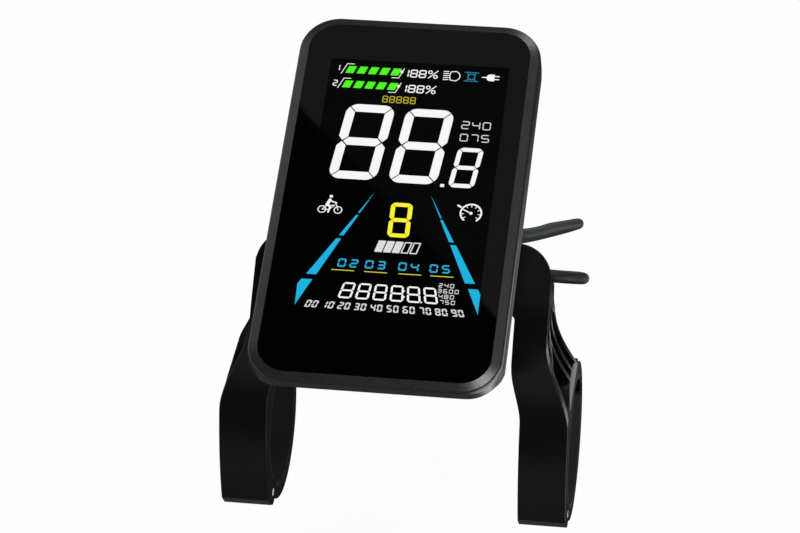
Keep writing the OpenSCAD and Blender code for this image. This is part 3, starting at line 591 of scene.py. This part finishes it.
def rail_ring(x, y):
    """A ring held between two rails by four stays."""
    shapes = ring(x + 1.7, y + 1.3, 0.85, width=0.26)
    for rail, inner, outer in ((0, 0.7, 0.1), (2.6, 1.9, 2.5)):
        shapes += line([(x, y + rail), (x + 3.4, y + rail)], width=0.22)
        for side in (-1, 1):
            shapes += line([(x + 1.7 + side * 1.05, y + outer), (x + 1.7 + side * 0.8, y + inner)],
                           width=0.24)
    return shapes


def wall_plug(x, y):
    """A plug with two prongs and a tail."""
    shapes = [slab(x + 1.5, y + 0.2, w=1.0, h=2.0), disc(x + 1.5, y + 1.2, 1.0)]
    for start, end, height in ((2.5, 3.6, 0.75), (2.5, 3.6, 1.65), (-0.5, 0.6, 1.2)):
        shapes += line([(x + start, y + height), (x + end, y + height)], width=0.28)
    return shapes


def rider(x, y):
    """A cyclist, whose rear wheel's hub is at x, y."""
    wheels = ring(x, y, 0.95, width=0.24) + ring(x + 3.9, y, 0.95, width=0.24)
    bicycle = line([(x, y), (x + 0.9, y + 1.0), (x + 2.9, y + 1.3), (x + 1.7, y), (x, y)], width=0.22)
    fork = line([(x + 3.9, y), (x + 3.1, y + 1.9), (x + 3.4, y + 2.0)], width=0.22)
    body = [[(x + 0.55, y + 1.2), (x + 1.35, y + 3.1), (x + 1.95, y + 3.0), (x + 1.5, y + 1.1)]]
    arm = line([(x + 1.6, y + 2.9), (x + 2.2, y + 2.3), (x + 3.1, y + 2.1)], width=0.34)
    leg = line([(x + 1.0, y + 1.2), (x + 1.9, y + 0.9), (x + 1.6, y - 0.7)], width=0.44)
    head = [disc(x + 1.75, y + 3.75, 0.42)]
    return wheels + bicycle + fork + body + arm + leg + head


def dial(x, y):
    """A round gauge with its ticks and needle, centred on x, y."""
    shapes = line(arc(x, y, 2.5, -52, 232, count=30), width=0.42)
    for i in range(DIAL_TICKS):
        angle = FIRST_TICK + TICK_PITCH * i
        shapes += line([around(x, y, 1.75, angle), around(x, y, 2.2, angle)], width=0.2)
    shapes += line([(x - 1.7, y + 0.8), (x, y)], width=0.3) + [disc(x, y, 0.4)]
    return shapes + line([(x - 3.3, y + 2.0), (x - 2.6, y + 1.6)], width=0.5)


# Rows of the screen
def status_row():
    """Two batteries with their numbers and shares, a lamp and a plug."""
    shapes = digit("1", x=-19.9, y=35.6, w=0.9, h=1.8, stroke=0.26)
    shapes += digit("2", x=-20.2, y=31.0, w=1.2, h=1.8, stroke=0.26)
    for y in PERCENT_ROWS:
        shapes += number("188", x=-3.6, y=y, w=1.85, h=2.35, stroke=0.34, pitch=2.15, lean=0.06)
        shapes += percent(x=2.9, y=y)
    shapes += headlight(*HEADLIGHT_PLACE) + wall_plug(*PLUG_PLACE)
    for place in BATTERY_PLACES:
        shapes += battery(*place)
    return shapes


def battery_cells():
    return [cell for place in BATTERY_PLACES for cell in cells(*place)]


def speed_figures():
    """Two large figures, a point and a smaller figure."""
    shapes = digit("8", x=-17.7, y=4.2, w=11.9, h=21.8, stroke=2.25, lean=0.1, gap=0.18)
    shapes += digit("8", x=-3.0, y=4.0, w=11.9, h=21.6, stroke=2.25, lean=0.1, gap=0.18)
    shapes += digit("8", x=11.7, y=3.6, w=6.3, h=11.5, stroke=1.15, lean=0.12, gap=0.12)
    return shapes + [slab(x=9.9, y=3.5, w=0.95, h=0.85)]


def unit_numbers():
    """Plain numbers at the right of the speed."""
    shapes = number("240", x=13.0, y=20.5, w=2.0, h=2.3, stroke=0.26, pitch=2.6)
    return shapes + number("075", x=13.0, y=16.9, w=2.0, h=2.2, stroke=0.26, pitch=2.6)


def level_gauge():
    """Outlined cells under the level figure, the first of them filled."""
    x, y = GAUGE_START
    shapes = []
    for i in range(GAUGE_CELLS):
        cell = slab(x + GAUGE_PITCH * i, y, w=1.5, h=2.9, lean=0.25)
        shapes += line(cell + cell[:1], width=0.3)
        if i < GAUGE_FILLED:
            shapes.append(cell)
    return shapes


def foot_scale():
    """Plain numbers from 00 to 90 along the screen's foot."""
    x, y = SCALE_START
    shapes = []
    for i in range(SCALE_NUMBERS):
        text = str(10 * i).zfill(2)
        shapes += number(text, x + SCALE_PITCH * i, y, w=1.1, h=1.9, stroke=0.32, pitch=1.4)
    return fanned(shapes)


def list_numbers():
    """Four small numbers under each other, at the right of the distance."""
    shapes = []
    for i, (start, text) in enumerate(LIST_ROWS):
        shapes += number(text, start, LIST_TOP - LIST_PITCH * i, w=1.0, h=1.15, stroke=0.2, pitch=1.35)
    return shapes


def scale_marks():
    return unit_numbers() + level_gauge() + foot_scale() + list_numbers()


def distance_figures():
    """A row of figures, with the points between them."""
    x, y = DISTANCE_START
    shapes = []
    for i in range(DISTANCE_FIGURES):
        shapes += digit("8", x + DISTANCE_PITCH * i, y, w=3.0, h=4.4, stroke=0.46, gap=0.05)
    return fanned(shapes) + [disc(4.9, -26.0, 0.22), disc(5.1, -27.6, 0.22), disc(9.4, -28.8, 0.2)]


def lanes():
    """The two lane lines, which widen towards the rider."""
    left = [[(-5.7, 0.8), (-6.6, -1.2), (-6.8, -1.2)],
            [(-6.8, -1.4), (-8.9, -5.2), (-8.4, -5.2), (-6.6, -1.4)],
            [(-9.2, -5.8), (-8.6, -5.8), (-11.5, -11.8), (-12.6, -11.8)],
            [(-13.1, -12.7), (-11.9, -12.7), (-16.5, -23.0), (-18.9, -23.0)],
            [(-19.8, -24.4), (-17.2, -24.4), (-20.4, -31.6), (-20.6, -25.8)]]
    right = [[(8.1, 0.7), (9.2, -1.4), (9.4, -1.4)],
             [(9.2, -1.5), (11.0, -5.3), (11.4, -5.3), (9.4, -1.5)],
             [(11.1, -5.8), (11.7, -5.8), (15.1, -11.8), (13.9, -11.8)],
             [(14.3, -12.6), (15.7, -12.6), (21.4, -22.8), (19.0, -22.8)],
             [(19.9, -24.3), (22.3, -24.3), (23.0, -25.6), (23.0, -31.1)]]
    return left + right


def tab_numbers():
    """Numbers 02 to 05, which lean less from left to right."""
    shapes = []
    for i, start in enumerate(TAB_STARTS):
        text = "0" + str(i + 2)
        lean = 0.08 - 0.03 * i
        shapes += number(text, start, y=-20.5, w=2.0, h=2.3, stroke=0.42, pitch=2.9, lean=lean)
    return shapes


def tab_bars():
    return [slab(start, y=-21.5, w=5.5, h=0.24) for start in TAB_BAR_STARTS]


def level_figure():
    return digit("8", x=-1.1, y=-11.4, w=5.3, h=9.7, stroke=1.1, lean=-0.01, gap=0.06)


def code_figures():
    return number("88888", x=-7.3, y=26.9, w=1.35, h=2.0, stroke=0.24, pitch=1.72)


def add_flat(name, shapes, material, height=PRINT_HEIGHT):
    """A flat piece on the lens, from outlines."""
    mesh = bmesh.new()
    for shape in shapes:
        mesh.faces.new([mesh.verts.new(display_point(x, ROW_STRETCH * y, height)) for x, y in shape])
    for face in mesh.faces:
        if face.normal.dot(out) < 0:
            face.normal_flip()
    bmesh.ops.triangulate(mesh, faces=[f for f in mesh.faces if len(f.verts) > 4])
    data = bpy.data.meshes.new(name)
    mesh.to_mesh(data)
    mesh.free()
    data.materials.append(material)
    piece = bpy.data.objects.new(name, data)
    bpy.context.scene.collection.objects.link(piece)
    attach(piece, "display")


def add_screen():
    white = glow("screen_white", (248, 249, 248))
    window = rounded(WINDOW_MIDDLE, WINDOW_W, WINDOW_H, WINDOW_RADIUS)
    add_flat("screen_window", [window], window_glass(), PRINT_HEIGHT / 2)
    add_flat("speed_figures", speed_figures(), white)
    add_flat("status_row", status_row(), white)
    add_flat("scale_marks", scale_marks(), glow("screen_soft_white", (222, 224, 224)))
    add_flat("distance_figures", distance_figures(), white)
    add_flat("rider_icon", rider(*RIDER_PLACE), white)
    add_flat("dial_icon", dial(*DIAL_PLACE), white)
    add_flat("battery_cells", battery_cells(), glow("screen_green", (78, 250, 30)))
    add_flat("lane_lines", lanes(), glow("screen_cyan", (28, 178, 226)))
    add_flat("tab_numbers", tab_numbers(), glow("screen_tab_cyan", (44, 170, 214)))
    add_flat("tab_bars", tab_bars(), glow("screen_dim_yellow", (214, 200, 60)))
    add_flat("rail_ring_icon", rail_ring(*RAIL_RING_PLACE), glow("screen_dim_cyan", (36, 134, 172)))
    add_flat("level_figure", level_figure(), glow("screen_yellow", (252, 244, 52)))
    add_flat("code_figures", code_figures(), glow("screen_ochre", (196, 184, 44)))


# Stage
def add_plane(name, corners, material):
    """A flat surface that isn't part of the object."""
    data = bpy.data.meshes.new(name)
    data.from_pydata([Vector(c) * MM for c in corners], [], [tuple(range(len(corners)))])
    data.materials.append(material)
    piece = bpy.data.objects.new(name, data)
    bpy.context.scene.collection.objects.link(piece)
    return piece


def level_corners(left, right, front, back, z):
    return [(left, front, z), (right, front, z), (right, back, z), (left, back, z)]


def seen_directly(tree):
    """1 where the camera, a mirror or clear glass looks at a surface, else 0."""
    light = tree.nodes.new("ShaderNodeLightPath")
    total = light.outputs["Is Camera Ray"]
    for kind in ("Is Glossy Ray", "Is Transmission Ray"):
        add = tree.nodes.new("ShaderNodeMath")
        add.operation = "ADD"
        add.use_clamp = True
        tree.links.new(total, add.inputs[0])
        tree.links.new(light.outputs[kind], add.inputs[1])
        total = add.outputs["Value"]
    return total


def floor_paint():
    """Pale floor: near white to the eye, with the shadow kept."""
    material, tree, shader = new_material("floor_paint")
    shader.inputs["Base Color"].default_value = (FLOOR_LEVEL, FLOOR_LEVEL, FLOOR_LEVEL, 1)
    shader.inputs["Roughness"].default_value = FLOOR_ROUGHNESS
    shader.inputs["Specular IOR Level"].default_value = 0.0
    bright = tree.nodes.new("ShaderNodeEmission")
    bright.inputs["Color"].default_value = (1, 1, 1, 1)
    bright.inputs["Strength"].default_value = 1.0
    share = tree.nodes.new("ShaderNodeMath")
    share.operation = "MULTIPLY"
    share.inputs[1].default_value = BACKGROUND_SHARE
    mix = tree.nodes.new("ShaderNodeMixShader")
    tree.links.new(seen_directly(tree), share.inputs[0])
    tree.links.new(share.outputs["Value"], mix.inputs["Fac"])
    tree.links.new(shader.outputs["BSDF"], mix.inputs[1])
    tree.links.new(bright.outputs["Emission"], mix.inputs[2])
    tree.links.new(mix.outputs["Shader"], tree.nodes["Material Output"].inputs["Surface"])
    return material


def band_ramp(tree, bands, axis):
    """Levels that pass smoothly from band to band along an axis."""
    first = bands[0][0]
    last = bands[-1][0]
    split = tree.nodes.new("ShaderNodeSeparateXYZ")
    tree.links.new(place_in_mm(tree), split.inputs["Vector"])
    along = tree.nodes.new("ShaderNodeMapRange")
    along.inputs["From Min"].default_value = first
    along.inputs["From Max"].default_value = last
    tree.links.new(split.outputs[axis], along.inputs["Value"])
    ramp = tree.nodes.new("ShaderNodeValToRGB")
    ramp.color_ramp.interpolation = "EASE"
    for i, (place, level) in enumerate(bands):
        stop = ramp.color_ramp.elements[i] if i < 2 else ramp.color_ramp.elements.new(1.0)
        stop.position = (place - first) / (last - first)
        stop.color = (level, level, level, 1)
    tree.links.new(along.outputs["Result"], ramp.inputs["Fac"])
    return ramp.outputs["Color"]


def card_paint(name, bands, axis):
    """Even light for one band, or soft bands along an axis for several."""
    material, tree, shader = new_material(name)
    tree.nodes.remove(shader)
    light = tree.nodes.new("ShaderNodeEmission")
    light.inputs["Color"].default_value = (1, 1, 1, 1)
    if len(bands) == 1:
        light.inputs["Strength"].default_value = bands[0][1]
    else:
        tree.links.new(band_ramp(tree, bands, axis), light.inputs["Strength"])
    tree.links.new(light.outputs["Emission"], tree.nodes["Material Output"].inputs["Surface"])
    return material


def add_card(name, corners, bands, axis="Y"):
    """A card that only reflections see."""
    piece = add_plane(name, corners, card_paint(name, bands, axis))
    piece.visible_camera = False
    piece.visible_diffuse = False
    piece.visible_shadow = False
    piece.visible_transmission = False


def add_lens_cards():
    """A dark card and a grey one over the display, which the lens mirrors: they meet on a slanting edge."""
    place, _ = look_from()
    mirrored = place - 2 * (place - display_point(0, 0)).dot(out) * out

    def on_card(point):
        ray = display_point(*point) - mirrored
        return (mirrored + ray * ((CARD_HEIGHT * MM - mirrored.z) / ray.z)) / MM

    start = on_card(STREAK_START)
    end = on_card(STREAK_END)
    slope = (end.y - start.y) / (end.x - start.x)
    left = (CARD_LEFT, start.y + slope * (CARD_LEFT - start.x), CARD_HEIGHT)
    right = (CARD_RIGHT, start.y + slope * (CARD_RIGHT - start.x), CARD_HEIGHT)
    for name, reach, bands in (("grey_card", CARD_REACH, GREY_BANDS),
                               ("dark_card", -CARD_REACH, DARK_BANDS)):
        far_side = [(CARD_RIGHT, reach, CARD_HEIGHT), (CARD_LEFT, reach, CARD_HEIGHT)]
        add_card(name, [left, right] + far_side, bands)


def add_side_cards():
    """Soft bands of light to the left and right of those two cards."""
    for name, near, far, bands in (("left_card", CARD_LEFT, -SIDE_CARD_REACH, LEFT_BANDS),
                                   ("right_card", CARD_RIGHT, SIDE_CARD_REACH, RIGHT_BANDS)):
        add_card(name, level_corners(near, far, -CARD_REACH, CARD_REACH, CARD_HEIGHT), bands)


def add_wall(name, start, end, top, bands):
    """A card that stands on the floor, from one place to another."""
    foot = [(*start, FLOOR_CARD_Z), (*end, FLOOR_CARD_Z)]
    add_card(name, foot + [(*end, top), (*start, top)], bands, "Z")


def add_wall_cards():
    """Soft bands before the arms, and dim cards behind the part and beside it."""
    front_left = (-WALL_REACH, -WALL_REACH)
    front_right = (WALL_REACH, -WALL_REACH)
    back_right = (WALL_REACH, WALL_REACH)
    back_left = (-WALL_REACH, WALL_REACH)
    add_wall("front_card", front_left, front_right, FRONT_WALL_TOP, FRONT_WALL_BANDS)
    add_wall("back_card", back_left, back_right, BACK_WALL_TOP, BACK_WALL_BANDS)
    add_wall("side_wall_card", front_right, back_right, CARD_HEIGHT, SIDE_WALL_BANDS)


def add_ground_cards():
    """Soft bands on the floor before the part and to its right, and a dim card behind it."""
    for name, left, right, front, back, bands in (
            ("front_ground_card", -WALL_REACH, WALL_REACH, -WALL_REACH, GROUND_SPLIT, FRONT_GROUND_BANDS),
            ("back_ground_card", -WALL_REACH, GROUND_SIDE, GROUND_SPLIT, WALL_REACH, BACK_GROUND_BANDS),
            ("side_ground_card", GROUND_SIDE, WALL_REACH, GROUND_SPLIT, WALL_REACH, SIDE_GROUND_BANDS)):
        add_card(name, level_corners(left, right, front, back, FLOOR_CARD_Z), bands)


def add_lamp(name, place, aim, size, power, mirrored=False):
    """A rectangular lamp, which either lights surfaces or is only mirrored in them."""
    data = bpy.data.lights.new(name, "AREA")
    data.shape = "RECTANGLE"
    data.size = size[0] * MM
    data.size_y = size[1] * MM
    data.energy = power
    lamp = bpy.data.objects.new(name, data)
    lamp.location = Vector(place) * MM
    lamp.rotation_euler = (Vector(place) - Vector(aim)).to_track_quat("Z", "Y").to_euler()
    lamp.visible_camera = False
    lamp.visible_diffuse = not mirrored
    lamp.visible_glossy = mirrored
    bpy.context.scene.collection.objects.link(lamp)


def add_corner_boxes():
    """Softboxes that the rim mirrors at the display's right-hand corners."""
    _, back = look_from()
    for name, (across, along), lean, distance, size, power in CORNER_BOXES:
        tilt = math.radians(lean)
        outward = (Vector((across, 0, 0)) + along * up).normalized()
        normal = math.cos(tilt) * out + math.sin(tilt) * outward
        corner = display_point(across * LENS_W / 2, along * LENS_H / 2) / MM
        mirrored = 2 * back.dot(normal) * normal - back
        add_lamp(name, corner + distance * mirrored, corner, (size, size), power, mirrored=True)


def add_world():
    """White to the eye, and an even pale room to everything else."""
    world = bpy.data.worlds.new("studio")
    bpy.context.scene.world = world
    world.use_nodes = True
    tree = world.node_tree
    room = tree.nodes["Background"]
    room.inputs["Color"].default_value = (1, 1, 1, 1)
    room.inputs["Strength"].default_value = ROOM_LEVEL
    white = tree.nodes.new("ShaderNodeBackground")
    white.inputs["Color"].default_value = (1, 1, 1, 1)
    white.inputs["Strength"].default_value = 1.0
    mix = tree.nodes.new("ShaderNodeMixShader")
    tree.links.new(seen_directly(tree), mix.inputs["Fac"])
    tree.links.new(room.outputs["Background"], mix.inputs[1])
    tree.links.new(white.outputs["Background"], mix.inputs[2])
    tree.links.new(mix.outputs["Shader"], tree.nodes["World Output"].inputs["Surface"])


def add_stage():
    floor = level_corners(-FLOOR_REACH, FLOOR_REACH, -FLOOR_REACH, FLOOR_REACH, FLOOR_Z)
    add_plane("floor", floor, floor_paint())
    add_lens_cards()
    add_side_cards()
    add_wall_cards()
    add_ground_cards()
    for name, place, aim, size, power in LAMPS:
        add_lamp(name, place, aim, size, power)
    add_corner_boxes()
    add_world()


add_camera()
add_cables()
paint_clamps()
paint_pivot()
paint_casing()
paint_electronics()
paint_connectors()
add_screen()
add_stage()
bpy.context.scene.view_settings.view_transform = "Standard"
